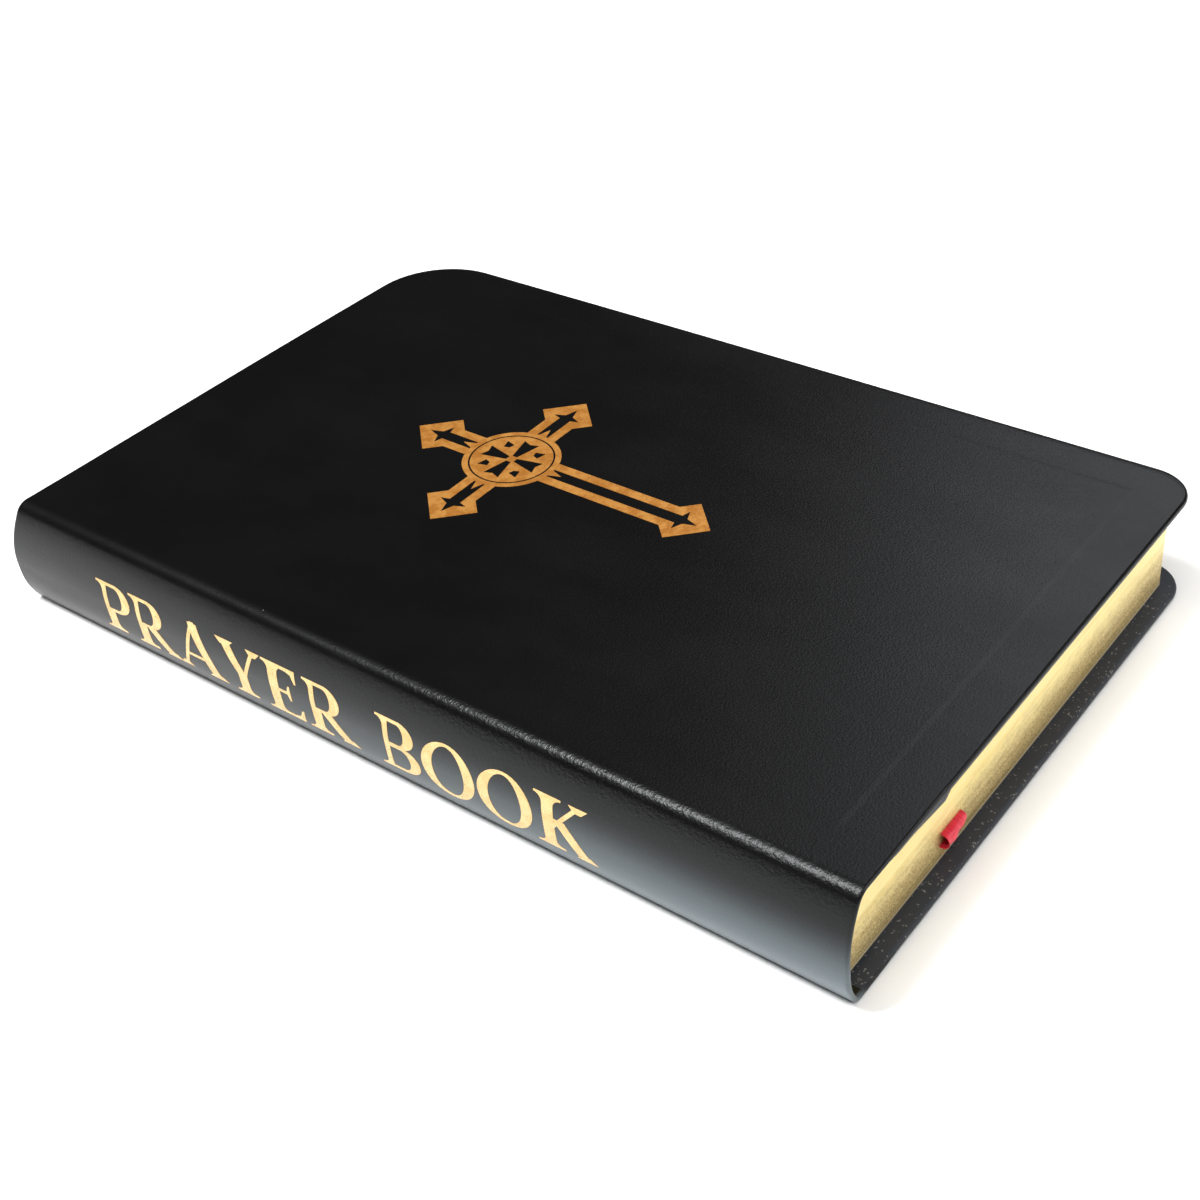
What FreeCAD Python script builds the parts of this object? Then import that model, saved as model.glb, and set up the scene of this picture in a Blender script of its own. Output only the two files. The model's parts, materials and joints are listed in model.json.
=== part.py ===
"""A leather-bound prayer book, lying closed on its back cover.

+X runs from the spine to the fore-edge, +Y from the tail to the head, +Z up through the pages.
The origin is under the middle of the book, on the surface that it lies on. Millimetres, degrees.
The spine of the book and everything on it are arcs about one axis, which runs along Y.
"""
import FreeCAD, Part
import math
import os
import Sketcher

DIMENSIONS = {
    # the closed book
    "book_length": 180.0,  # tail edge to head edge of the covers
    "book_width": 120.0,  # outermost point of the spine to the fore-edge of the covers
    "book_thickness": 22.4,
    # the covers, from the outside in: leather, board, turned-in leather around an infill card
    "leather_gauge": 0.6,
    "board_gauge": 0.5,
    "infill_gauge": 0.28,
    "pastedown_gauge": 0.12,
    "edge_wrap": 0.6,  # leather around the edge of the board
    "turn_in": 9.0,  # how far the leather is turned in over the board
    "corner_radius": 10.0,
    "joint_width": 11.0,  # flexible leather between the hinge and the board
    "hinge_inset": 3.0,  # hinge line, inwards of the spine's outermost point
    "hinge_relief": 0.6,  # hinge line to the stiff part of the cover
    # the spine, as radii about the spine axis
    "spine_radius": 21.0,
    "foil_gauge": 0.05,
    "spine_leather_gauge": 0.95,
    "inlay_gauge": 0.4,
    "fold_radius": 17.8,  # backs of the folded sections
    "thread_radius": 18.35,
    "thread_gauge": 0.35,
    "mull_radius": 18.65,
    "mull_gauge": 0.25,
    "lining_radius": 18.95,
    "lining_gauge": 0.25,
    "shell_half_angle": 24.2,
    "lining_half_angle": 26.0,
    "cloth_length": 150.0,
    "thread_pitch": 32.0,
    # the text block
    "square": 3.2,  # cover beyond the pages, at the head and the tail
    "fore_square": 3.4,
    "fore_hollow": 0.6,  # depth of the hollow fore-edge
    "page_radius": 2.0,  # rounded corners of the pages
    "cover_gap": 0.1,  # a cover's inside to the nearest leaf
    "leaf_gauge": 0.14,
    "leaf_pitch": 0.2,
    "gutter_width": 9.5,  # spine's outermost point to the line where the loose leaves bend
    "leaf_relief": 0.3,  # bend line to the stiff part of a leaf
    "section_gauge": 1.3,
    "section_pitch": 1.33,
    "ribbon_room": 0.3,
    # the bands and the ribbon marker
    "band_radius": 18.9,
    "band_gauge": 1.6,
    "band_length": 1.2,
    "band_half_angle": 27.0,
    "ribbon_width": 6.35,
    "ribbon_gauge": 0.2,
    "ribbon_across": -24.4,  # middle of the ribbon, along X
    "ribbon_curl": 1.25,
    "ribbon_relief": 0.25,
    "ribbon_length": 165.0,  # inside the pages
    # the cross on the front cover
    "cross_across": 2.6,
    "cross_along": 19.5,
    "arm_short": 23.0,
    "arm_long": 44.7,
    "arm_width": 6.5,
    "arm_line": 2.0,
    "end_diagonal": 6.0,  # half the diagonal of the square at the end of each arm
    "star_diagonal": 2.7,
    "roundel_radius": 9.35,
    "roundel_ring": 8.15,
    "roundel_line": 0.35,
    "device_length": 5.6,
    # the title on the spine
    "title_start": 67.4,
    "title_base": 4.9,
    "cap_height": 10.4,
    "letter_gap": 2.5,
    "word_gap": 8.0,
    "stroke_width": 2.0,
}
SECTIONS = 13
SECTIONS_UNDER_RIBBON = 4
THREAD_STATIONS = 5
LEAVES = ("front_flyleaf", "title_leaf", "leaf_02", "leaf_03", "leaf_04", "leaf_05")

# Letters as strokes in units of the cap height: bars from point to point, and half rings open to
# the left, as middle, outer radius.
BOW = "bow"
LETTERS = {
    "P": (0.62, ((0.1, 0, 0.1, 1), (BOW, 0.3, 0.73, 0.27), (0.1, 0.9, 0.3, 0.9), (0.1, 0.56, 0.3, 0.56))),
    "R": (0.78, ((0.1, 0, 0.1, 1), (BOW, 0.3, 0.73, 0.27), (0.1, 0.9, 0.3, 0.9), (0.1, 0.56, 0.3, 0.56),
                 (0.34, 0.52, 0.7, 0.02))),
    "A": (0.9, ((0.08, 0, 0.45, 0.98), (0.82, 0, 0.45, 0.98), (0.22, 0.33, 0.68, 0.33))),
    "Y": (0.86, ((0.43, 0, 0.43, 0.5), (0.43, 0.48, 0.08, 0.98), (0.43, 0.48, 0.78, 0.98))),
    "E": (0.68, ((0.1, 0, 0.1, 1), (0.1, 0.9, 0.64, 0.9), (0.1, 0.5, 0.5, 0.5), (0.1, 0.1, 0.64, 0.1))),
    "B": (0.66, ((0.1, 0, 0.1, 1), (BOW, 0.32, 0.74, 0.26), (BOW, 0.32, 0.27, 0.27),
                 (0.1, 0.9, 0.32, 0.9), (0.1, 0.5, 0.32, 0.5), (0.1, 0.1, 0.32, 0.1))),
    "O": (0.94, ()),
    "K": (0.8, ((0.1, 0, 0.1, 1), (0.14, 0.42, 0.7, 0.98), (0.3, 0.56, 0.72, 0.02))),
}
TITLE = ("PRAYER", "BOOK")

doc = FreeCAD.newDocument("prayer_book")
sheet = doc.addObject("Spreadsheet::Sheet", "Dims")
for row, (alias, value) in enumerate(DIMENSIONS.items(), start=1):
    sheet.set(f"A{row}", alias)
    sheet.set(f"B{row}", str(value))
    sheet.setAlias(f"B{row}", alias)
doc.recompute()

X_AXIS = FreeCAD.Vector(1, 0, 0)
Y_AXIS = FreeCAD.Vector(0, 1, 0)
Z_AXIS = FreeCAD.Vector(0, 0, 1)

# Expressions that several sub-parts share.
HALF_LENGTH = "Dims.book_length / 2"
FORE_EDGE = "Dims.book_width / 2"
SPINE_OUT = "-Dims.book_width / 2"
AXIS_X = "(Dims.spine_radius - Dims.book_width / 2)"
AXIS_Z = "(Dims.book_thickness / 2)"
HINGE_X = "(Dims.hinge_inset - Dims.book_width / 2)"
COVER_LEFT = f"({HINGE_X} + Dims.hinge_relief)"
BOARD_LEFT = f"({SPINE_OUT} + Dims.hinge_inset + Dims.joint_width)"
COVER_GAUGE = "(Dims.leather_gauge + Dims.board_gauge + Dims.infill_gauge + Dims.pastedown_gauge)"
BLOCK_HALF = "(Dims.book_length / 2 - Dims.square)"
BLOCK_FORE = "(Dims.book_width / 2 - Dims.fore_square)"
FRONT_FACE = "(Dims.book_thickness - Dims.foil_gauge)"
LEAF_TOP = f"({FRONT_FACE} - {COVER_GAUGE} - Dims.cover_gap / 2)"
GUTTER_X = "(Dims.gutter_width - Dims.book_width / 2)"

parts = []


def dim(alias):
    """A driving dimension, as a number."""
    return float(getattr(sheet, alias))


def keep(piece, label):
    """Label an object as a sub-part that is written out."""
    piece.Label = label
    parts.append(piece)
    return piece


def bind(target, **expressions):
    """Bind properties to expressions; _x, _y and _z name the placement's base."""
    places = {"_x": ".Placement.Base.x", "_y": ".Placement.Base.y", "_z": ".Placement.Base.z"}
    for name, expression in expressions.items():
        target.setExpression(places.get(name, name), str(expression))


def origin_plane(body, role):
    return next(feature for feature in body.Origin.OriginFeatures if feature.Role == role)


def new_sketch(body, role, shift):
    """A sketch on one of the body's own origin planes, moved by three expressions in that plane's axes."""
    sketch = body.newObject("Sketcher::SketchObject", body.Name + "_sketch")
    sketch.AttachmentSupport = (origin_plane(body, role), [""])
    sketch.MapMode = "FlatFace"
    for letter, expression in zip("xyz", shift):
        sketch.setExpression(f"AttachmentOffset.Base.{letter}", expression)
    return sketch


def polyline(sketch, points):
    """Closed run of lines through the points, joined end to end."""
    vectors = [FreeCAD.Vector(x, y, 0) for x, y in points]
    for start, end in zip(vectors, vectors[1:] + vectors[:1]):
        sketch.addGeometry(Part.LineSegment(start, end), False)
    for line in range(len(vectors)):
        sketch.addConstraint(Sketcher.Constraint("Coincident", line, 2, (line + 1) % len(vectors), 1))


def size(sketch, kind, first, second, expression, name):
    """A distance between two points of the sketch, bound to an expression."""
    index = sketch.addConstraint(Sketcher.Constraint(kind, *first, *second, 1.0))
    sketch.renameConstraint(index, name)
    sketch.setExpression(f"Constraints.{name}", expression)


def fore_edge_fillet(body, base, radius):
    """Round the two upright edges at the fore-edge."""
    doc.recompute()
    bounds = base.Shape.BoundBox
    names = []
    for index, edge in enumerate(base.Shape.Edges, start=1):
        box = edge.BoundBox
        upright = box.XLength < 1e-6 and box.YLength < 1e-6
        if upright and abs(box.XMax - bounds.XMax) < 1e-6:
            names.append(f"Edge{index}")
    fillet = body.newObject("PartDesign::Fillet", body.Name + "_corners")
    fillet.Base = (base, names)
    fillet.setExpression("Radius", radius)
    body.Tip = fillet


def plate(name, left, right, half_length, bottom, gauge, radius):
    """A flat sheet with rounded corners at the fore-edge."""
    body = doc.addObject("PartDesign::Body", name)
    sketch = new_sketch(body, "XY_Plane", (left, f"-({half_length})", bottom))
    polyline(sketch, ((0, 0), (9, 0), (9, 9), (0, 9)))
    for line, direction in enumerate(("Horizontal", "Vertical", "Horizontal", "Vertical")):
        sketch.addConstraint(Sketcher.Constraint(direction, line))
    sketch.addConstraint(Sketcher.Constraint("Coincident", 0, 1, -1, 1))
    size(sketch, "DistanceX", (0, 1), (0, 2), f"{right} - {left}", "across")
    size(sketch, "DistanceY", (1, 1), (1, 2), f"2 * {half_length}", "along")
    pad = body.newObject("PartDesign::Pad", name + "_pad")
    pad.Profile = sketch
    pad.setExpression("Length", gauge)
    body.Tip = pad
    fore_edge_fillet(body, pad, radius)
    return body


def folded(name, right, middle, radius):
    """Folded sheets: a slab along Y whose spine side is rounded and lies on the fold radius."""
    body = doc.addObject("PartDesign::Body", name)
    depth = f"sqrt(Dims.fold_radius ^ 2 - ({middle} - {AXIS_Z}) ^ 2)"
    fold_x = f"({AXIS_X} - {depth} + Dims.section_gauge / 2)"
    sketch = new_sketch(body, "XZ_Plane", (fold_x, middle, "0"))
    low, high = (FreeCAD.Vector(0, sign * dim("section_gauge") / 2, 0) for sign in (-1, 1))
    reach = FreeCAD.Vector(dim("book_width"), 0, 0)
    circle = Part.Circle(FreeCAD.Vector(0, 0, 0), Z_AXIS, high.y)
    fold = sketch.addGeometry(Part.ArcOfCircle(circle, math.pi / 2, 1.5 * math.pi))
    under = sketch.addGeometry(Part.LineSegment(low, low + reach))
    fore = sketch.addGeometry(Part.LineSegment(low + reach, high + reach))
    over = sketch.addGeometry(Part.LineSegment(high + reach, high))
    sketch.addConstraint(Sketcher.Constraint("Coincident", fold, 3, -1, 1))
    sketch.addConstraint(Sketcher.Constraint("Tangent", fold, 2, under, 1))
    sketch.addConstraint(Sketcher.Constraint("Tangent", over, 2, fold, 1))
    sketch.addConstraint(Sketcher.Constraint("Coincident", under, 2, fore, 1))
    sketch.addConstraint(Sketcher.Constraint("Coincident", fore, 2, over, 1))
    sketch.addConstraint(Sketcher.Constraint("Horizontal", under))
    sketch.addConstraint(Sketcher.Constraint("Horizontal", over))
    sketch.addConstraint(Sketcher.Constraint("Vertical", fore))
    size(sketch, "DistanceY", (fore, 1), (fore, 2), "Dims.section_gauge", "gauge")
    size(sketch, "DistanceX", (-1, 1), (under, 2), f"{right} - {fold_x}", "across")
    pad = body.newObject("PartDesign::Pad", name + "_pad")
    pad.Profile = sketch
    pad.Midplane = True
    pad.setExpression("Length", f"2 * {BLOCK_HALF}")
    body.Tip = pad
    if radius:
        fore_edge_fillet(body, pad, radius)
    return body


def sector(name, radius, gauge, half_angle, length, middle="0"):
    """A curved sheet about the spine axis: part of a tube, centred on the spine side."""
    rings = []
    turn = FreeCAD.Rotation(X_AXIS, -90) * FreeCAD.Rotation(Z_AXIS, 180 - dim(half_angle))
    for suffix, ring_radius in (("_outer", radius), ("_inner", f"{radius} - {gauge}")):
        ring = doc.addObject("Part::Cylinder", name + suffix)
        ring.Placement = FreeCAD.Placement(FreeCAD.Vector(0, 0, 0), turn)
        bind(ring, Radius=ring_radius, Height=length, Angle=f"2 * Dims.{half_angle}")
        bind(ring, _x=AXIS_X, _y=f"{middle} - {length} / 2", _z=AXIS_Z)
        rings.append(ring)
    shell = doc.addObject("Part::Cut", name)
    shell.Base, shell.Tool = rings
    return shell


def join(kind, name, pieces):
    group = doc.addObject(kind, name)
    setattr(group, "Links" if kind == "Part::Compound" else "Shapes", pieces)
    return group


def block(name, across, along, up):
    """A box bound to three expressions."""
    box = doc.addObject("Part::Box", name)
    bind(box, Length=across, Width=along, Height=up)
    return box


def cover(side):
    """One cover: its leather goes around a board, and inside there is an infill card and a pastedown."""

    def bottom(depth, gauge):
        return f"{FRONT_FACE} - ({depth}) - {gauge}" if side == "front" else depth

    board_depth = "Dims.leather_gauge"
    infill_depth = f"{board_depth} + Dims.board_gauge"
    paste_depth = f"{infill_depth} + Dims.infill_gauge"
    window_right = f"({FORE_EDGE} - Dims.turn_in)"
    window_half = f"({HALF_LENGTH} - Dims.turn_in)"
    slab = plate(f"{side}_cover_slab", COVER_LEFT, FORE_EDGE, f"({HALF_LENGTH})",
                 bottom("0", COVER_GAUGE), COVER_GAUGE, "Dims.corner_radius")
    board = plate(f"{side}_board", BOARD_LEFT, f"({FORE_EDGE} - Dims.edge_wrap)",
                  f"({HALF_LENGTH} - Dims.edge_wrap)", bottom(board_depth, "Dims.board_gauge"),
                  "Dims.board_gauge", "Dims.corner_radius - Dims.edge_wrap")
    infill = plate(f"{side}_infill", BOARD_LEFT, window_right, window_half,
                   bottom(infill_depth, "Dims.infill_gauge"), "Dims.infill_gauge", "Dims.page_radius")
    pastedown = plate(f"{side}_pastedown", f"({COVER_LEFT} + Dims.hinge_relief)", window_right, window_half,
                      bottom(paste_depth, "Dims.pastedown_gauge"), "Dims.pastedown_gauge",
                      "Dims.page_radius")
    room = join("Part::MultiFuse", f"{side}_cover_room", [board, infill, pastedown])
    leather = doc.addObject("Part::Cut", f"{side}_cover_skin")
    leather.Base = slab
    leather.Tool = room
    keep(leather, f"{side}_cover_leather")
    keep(board, f"{side}_board")
    keep(infill, f"{side}_infill")
    keep(pastedown, f"{side}_pastedown")


def spine():
    """The cover's spine and the linings on the back of the sewn sections."""
    full = "Dims.book_length"
    leather = sector("spine_skin", "(Dims.spine_radius - Dims.foil_gauge)", "Dims.spine_leather_gauge",
                     "shell_half_angle", full)
    keep(leather, "spine_leather")
    inlay_radius = "(Dims.spine_radius - Dims.foil_gauge - Dims.spine_leather_gauge)"
    inlay = sector("spine_card", inlay_radius, "Dims.inlay_gauge", "shell_half_angle",
                   f"({full} - 2 * Dims.turn_in)")
    keep(inlay, "spine_inlay")
    keep(sector("mull_cloth", "Dims.mull_radius", "Dims.mull_gauge", "lining_half_angle",
                "Dims.cloth_length"), "mull")
    keep(sector("lining_paper", "Dims.lining_radius", "Dims.lining_gauge", "lining_half_angle",
                f"2 * {BLOCK_HALF}"), "spine_lining")
    threads = []
    for station in range(THREAD_STATIONS):
        place = f"{station - (THREAD_STATIONS - 1) / 2} * Dims.thread_pitch"
        threads.append(sector(f"thread_{station + 1}", "Dims.thread_radius", "Dims.thread_gauge",
                              "lining_half_angle", "Dims.thread_gauge", place))
    keep(join("Part::Compound", "threads", threads), "sewing_threads")
    for name, sign in (("headband", 1), ("tailband", -1)):
        middle = f"{sign} * ({BLOCK_HALF} + Dims.band_length / 2)"
        keep(sector(name + "_roll", "Dims.band_radius", "Dims.band_gauge", "band_half_angle",
                    "Dims.band_length", middle), name)


def text_block():
    """The sewn sections, the back flyleaf and the loose leaves of the opening at the front."""
    leaf_left = f"({GUTTER_X} + Dims.leaf_relief)"
    for depth, name in enumerate(LEAVES):
        bottom = f"{LEAF_TOP} - {depth} * Dims.leaf_pitch - Dims.leaf_gauge"
        keep(plate(name + "_sheet", leaf_left, BLOCK_FORE, BLOCK_HALF, bottom, "Dims.leaf_gauge",
                   "Dims.page_radius"), name)
    fold_middle = f"({LEAF_TOP} - Dims.section_gauge / 2 - Dims.cover_gap / 2)"
    keep(folded("gutter_fold", f"({GUTTER_X} - Dims.leaf_relief)", fold_middle, None), "first_section_fold")
    first = f"({COVER_GAUGE} + Dims.cover_gap + Dims.leaf_pitch + Dims.section_gauge / 2)"
    for number in range(SECTIONS):
        lift = " + Dims.ribbon_room" if number >= SECTIONS_UNDER_RIBBON else ""
        middle = f"({first} + {number} * Dims.section_pitch{lift})"
        reach = f"(2 * ({middle} - {AXIS_Z}) / Dims.book_thickness)"
        right = f"({BLOCK_FORE} - Dims.fore_hollow * (1 - {reach} ^ 2))"
        section = folded(f"sewn_sheets_{number + 1:02d}", right, middle, "Dims.page_radius")
        keep(section, f"section_{number + 1:02d}")
    flyleaf_left = f"({SPINE_OUT} + 6)"
    keep(plate("back_flyleaf_sheet", flyleaf_left, BLOCK_FORE, BLOCK_HALF,
               f"{COVER_GAUGE} + Dims.cover_gap", "Dims.leaf_gauge", "Dims.page_radius"), "back_flyleaf")


def ribbon():
    """The marker lies between two sections and its end curls over at the tail."""
    level = (f"({COVER_GAUGE} + Dims.cover_gap + Dims.leaf_pitch + {SECTIONS_UNDER_RIBBON}"
             " * Dims.section_pitch + Dims.ribbon_room / 2)")
    marker = block("marker_strip", "Dims.ribbon_width", "Dims.ribbon_length", "Dims.ribbon_gauge")
    bind(marker, _x="Dims.ribbon_across - Dims.ribbon_width / 2", _y=f"-{BLOCK_HALF}",
         _z=f"{level} - Dims.ribbon_gauge / 2")
    keep(marker, "ribbon_marker")
    turn = FreeCAD.Rotation(Y_AXIS, 90) * FreeCAD.Rotation(Z_AXIS, 180)
    rings = []
    for suffix, offset in (("_outer", "+"), ("_inner", "-")):
        ring = doc.addObject("Part::Cylinder", "curl" + suffix)
        ring.Placement = FreeCAD.Placement(FreeCAD.Vector(0, 0, 0), turn)
        ring.Angle = 180
        bind(ring, Radius=f"Dims.ribbon_curl {offset} Dims.ribbon_gauge / 2", Height="Dims.ribbon_width")
        bind(ring, _x="Dims.ribbon_across - Dims.ribbon_width / 2",
             _y=f"-{BLOCK_HALF} - Dims.ribbon_relief", _z=f"{level} - Dims.ribbon_curl")
        rings.append(ring)
    curl = doc.addObject("Part::Cut", "curl")
    curl.Base, curl.Tool = rings
    keep(curl, "ribbon_tip")


def cross():
    """Gold foil on the front cover: an outline cross with square ends, and a roundel at its middle."""
    middle = FreeCAD.Vector(dim("cross_across"), dim("cross_along"), 0)
    solids = []
    hollows = []
    for quarter in range(4):
        reach = "Dims.arm_long" if quarter == 3 else "Dims.arm_short"
        turn = FreeCAD.Rotation(Z_AXIS, 90 * quarter)
        end = dim("arm_long" if quarter == 3 else "arm_short") - dim("end_diagonal")
        inner = "(Dims.arm_width - 2 * Dims.arm_line)"
        for group, width in ((solids, "Dims.arm_width"), (hollows, inner)):
            arm = block(f"arm_{quarter}_{len(group)}", f"{reach} - Dims.end_diagonal", width,
                        "Dims.foil_gauge")
            doc.recompute()
            sideways = FreeCAD.Vector(0, -arm.Width.Value / 2, 0)
            arm.Placement = FreeCAD.Placement(middle + turn.multVec(sideways), turn)
            group.append(arm)
        for group, diagonal in ((solids, "end_diagonal"), (hollows, "star_diagonal")):
            side = f"Dims.{diagonal} * sqrt(2)"
            square = block(f"end_{quarter}_{len(group)}", side, side, "Dims.foil_gauge")
            corner = FreeCAD.Vector(end - dim(diagonal), 0, 0)
            tilt = turn * FreeCAD.Rotation(Z_AXIS, -45)
            square.Placement = FreeCAD.Placement(middle + turn.multVec(corner), tilt)
            group.append(square)
    disc = doc.addObject("Part::Cylinder", "roundel_room")
    bind(disc, Radius="Dims.roundel_radius", Height="Dims.foil_gauge")
    disc.Placement.Base = middle
    hollows.append(disc)
    foil = doc.addObject("Part::Cut", "cross_foil")
    foil.Base = join("Part::MultiFuse", "cross_solids", solids)
    foil.Tool = join("Part::MultiFuse", "cross_hollows", hollows)
    bind(foil, _z=FRONT_FACE)
    keep(foil, "cover_cross")


def roundel():
    """The disc at the middle of the cross, with an engraved ring and a small plain cross."""
    middle = FreeCAD.Vector(dim("cross_across"), dim("cross_along"), 0)
    discs = {}
    for name, radius in (("disc", "Dims.roundel_radius"), ("ring_outer", "Dims.roundel_ring"),
                         ("ring_inner", "Dims.roundel_ring - Dims.roundel_line")):
        disc = doc.addObject("Part::Cylinder", "roundel_" + name)
        bind(disc, Radius=radius, Height="Dims.foil_gauge")
        disc.Placement.Base = middle
        discs[name] = disc
    ring = doc.addObject("Part::Cut", "roundel_groove")
    ring.Base = discs["ring_outer"]
    ring.Tool = discs["ring_inner"]
    cuts = [ring]
    for name, across, along in (("bar", "2 * Dims.device_length", "Dims.arm_line"),
                                ("post", "Dims.arm_line", "2 * Dims.device_length")):
        bar = block("device_" + name, across, along, "Dims.foil_gauge")
        bind(bar, _x=f"Dims.cross_across - ({across}) / 2", _y=f"Dims.cross_along - ({along}) / 2")
        cuts.append(bar)
    foil = doc.addObject("Part::Cut", "roundel_foil")
    foil.Base = discs["disc"]
    foil.Tool = join("Part::MultiFuse", "roundel_cuts", cuts)
    bind(foil, _z=FRONT_FACE)
    keep(foil, "cover_roundel")


def title():
    """Gold foil letters on the spine, read from the head to the tail with their tops to the front cover."""
    cap = dim("cap_height")
    stroke = dim("stroke_width")
    room = "Dims.spine_radius"
    strokes = []

    def add_bar(start, x0, z0, x1, z1):
        length = math.hypot(x1 - x0, z1 - z0) * cap
        bar = block(f"stroke_{len(strokes)}", room, str(length), "Dims.stroke_width")
        # The box's Width runs along the stroke; the letter's x runs along -Y.
        angle = math.degrees(math.atan2(z1 - z0, -(x1 - x0)))
        turn = FreeCAD.Rotation(X_AXIS, angle)
        corner = FreeCAD.Vector(0, start - x0 * cap, dim("title_base") + z0 * cap)
        corner += turn.multVec(FreeCAD.Vector(0, 0, -stroke / 2))
        corner.x = -dim("book_width") / 2 - 1
        bar.Placement = FreeCAD.Placement(corner, turn)
        strokes.append(bar)

    def add_ring(start, x, z, radius, angle):
        rings = []
        turn = FreeCAD.Rotation(Y_AXIS, 90) * FreeCAD.Rotation(Z_AXIS, 180)
        for suffix, ring_radius in (("o", radius * cap), ("i", radius * cap - stroke)):
            ring = doc.addObject("Part::Cylinder", f"bow_{len(strokes)}{suffix}")
            bind(ring, Radius=str(ring_radius), Height=room)
            ring.Angle = angle
            centre = FreeCAD.Vector(-dim("book_width") / 2 - 1, start - x * cap, dim("title_base") + z * cap)
            ring.Placement = FreeCAD.Placement(centre, turn)
            rings.append(ring)
        cut = doc.addObject("Part::Cut", f"bow_{len(strokes)}")
        cut.Base, cut.Tool = rings
        strokes.append(cut)

    start = dim("title_start")
    for word in TITLE:
        for letter in word:
            width, lines = LETTERS[letter]
            for line in lines:
                if line[0] == BOW:
                    add_ring(start, *line[1:], 180)
                else:
                    add_bar(start, *line)
            if letter == "O":
                add_ring(start, width / 2, 0.5, width / 2, 360)
            start -= width * cap + dim("letter_gap")
        start -= dim("word_gap")
    foil = doc.addObject("Part::Common", "title_foil")
    foil.Base = sector("title_layer", "Dims.spine_radius", "Dims.foil_gauge", "shell_half_angle",
                       "Dims.book_length")
    foil.Tool = join("Part::MultiFuse", "title_strokes", strokes)
    keep(foil, "spine_title")


cover("front")
cover("back")
spine()
text_block()
ribbon()
cross()
roundel()
title()
doc.recompute()

failed = [item.Label for item in doc.Objects if "Invalid" in item.State or "Error" in item.State]
if failed:
    raise RuntimeError("failed objects: " + ", ".join(failed))
for piece in parts:
    if piece.Shape.isNull() or not piece.Shape.isValid():
        raise RuntimeError("bad shape: " + piece.Label)

os.makedirs("parts", exist_ok=True)
for piece in parts:
    piece.Shape.exportStep(os.path.join("parts", piece.Label + ".step"))
    print(f"{piece.Label}: {len(piece.Shape.Solids)} solids, {piece.Shape.Volume:.1f} mm3")
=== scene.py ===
"""Looks of the leather-bound prayer book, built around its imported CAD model. Metres, CAD frame."""

import json
from math import asin, atan2, cos, pi, radians, sin, sqrt

import bmesh
import bpy
import numpy as np
from mathutils import Matrix, Vector
from mathutils.geometry import delaunay_2d_cdt


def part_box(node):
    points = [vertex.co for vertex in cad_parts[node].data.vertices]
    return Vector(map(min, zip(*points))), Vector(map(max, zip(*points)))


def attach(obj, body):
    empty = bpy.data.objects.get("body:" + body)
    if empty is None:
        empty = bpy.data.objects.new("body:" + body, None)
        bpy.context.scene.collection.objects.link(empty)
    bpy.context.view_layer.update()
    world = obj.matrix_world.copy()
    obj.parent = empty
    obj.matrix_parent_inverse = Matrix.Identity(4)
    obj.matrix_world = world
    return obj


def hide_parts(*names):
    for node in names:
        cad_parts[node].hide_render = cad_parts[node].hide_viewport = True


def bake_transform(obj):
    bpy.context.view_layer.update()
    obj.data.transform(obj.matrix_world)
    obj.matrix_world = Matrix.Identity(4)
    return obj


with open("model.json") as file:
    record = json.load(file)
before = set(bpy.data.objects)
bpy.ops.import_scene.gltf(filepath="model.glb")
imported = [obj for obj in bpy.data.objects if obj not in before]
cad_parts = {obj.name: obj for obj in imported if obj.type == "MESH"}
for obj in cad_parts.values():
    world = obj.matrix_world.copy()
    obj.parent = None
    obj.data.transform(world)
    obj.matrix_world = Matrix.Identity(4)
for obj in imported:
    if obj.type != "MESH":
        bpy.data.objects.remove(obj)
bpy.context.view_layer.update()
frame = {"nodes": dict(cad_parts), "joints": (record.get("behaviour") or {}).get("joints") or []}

MM = 0.001
CASE = "text_block"
FRONT = "front_cover"
BACK = "back_cover"

# -------- sizes, in millimetres, from the frame


def node_box(name):
    """The low and high corners of a CAD node, in millimetres."""
    low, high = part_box(name)
    return low / MM, high / MM


cover_low, cover_high = node_box("front_cover_leather")
CROSS_LOW, CROSS_HIGH = node_box("cover_cross")
FOIL_TOP = CROSS_HIGH.z
HALF = cover_high.y
FORE = cover_high.x
TOP = cover_high.z
GAUGE = TOP - cover_low.z
SPINE_OUT = node_box("spine_leather")[0].x
MID_Z = FOIL_TOP / 2
FOIL = FOIL_TOP - TOP
SPINE_WITH_FOIL_R = 21.0
SPINE_R = SPINE_WITH_FOIL_R - FOIL
AXIS_X = SPINE_OUT + SPINE_R
BOARD_LEFT = node_box("front_board")[0].x
WINDOW_X = node_box("front_infill")[1].x
TURN_IN = FORE - WINDOW_X
LEAF_LEFT = node_box("front_flyleaf")[0].x
TITLE_LOW, TITLE_HIGH = node_box("spine_title")
ROUNDEL_LOW, ROUNDEL_HIGH = node_box("cover_roundel")
joint_place = {joint["name"]: Vector(joint["pos_m"]) / MM for joint in frame["joints"]}
LEAF_HINGE = joint_place["front_flyleaf_turn"]

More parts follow.
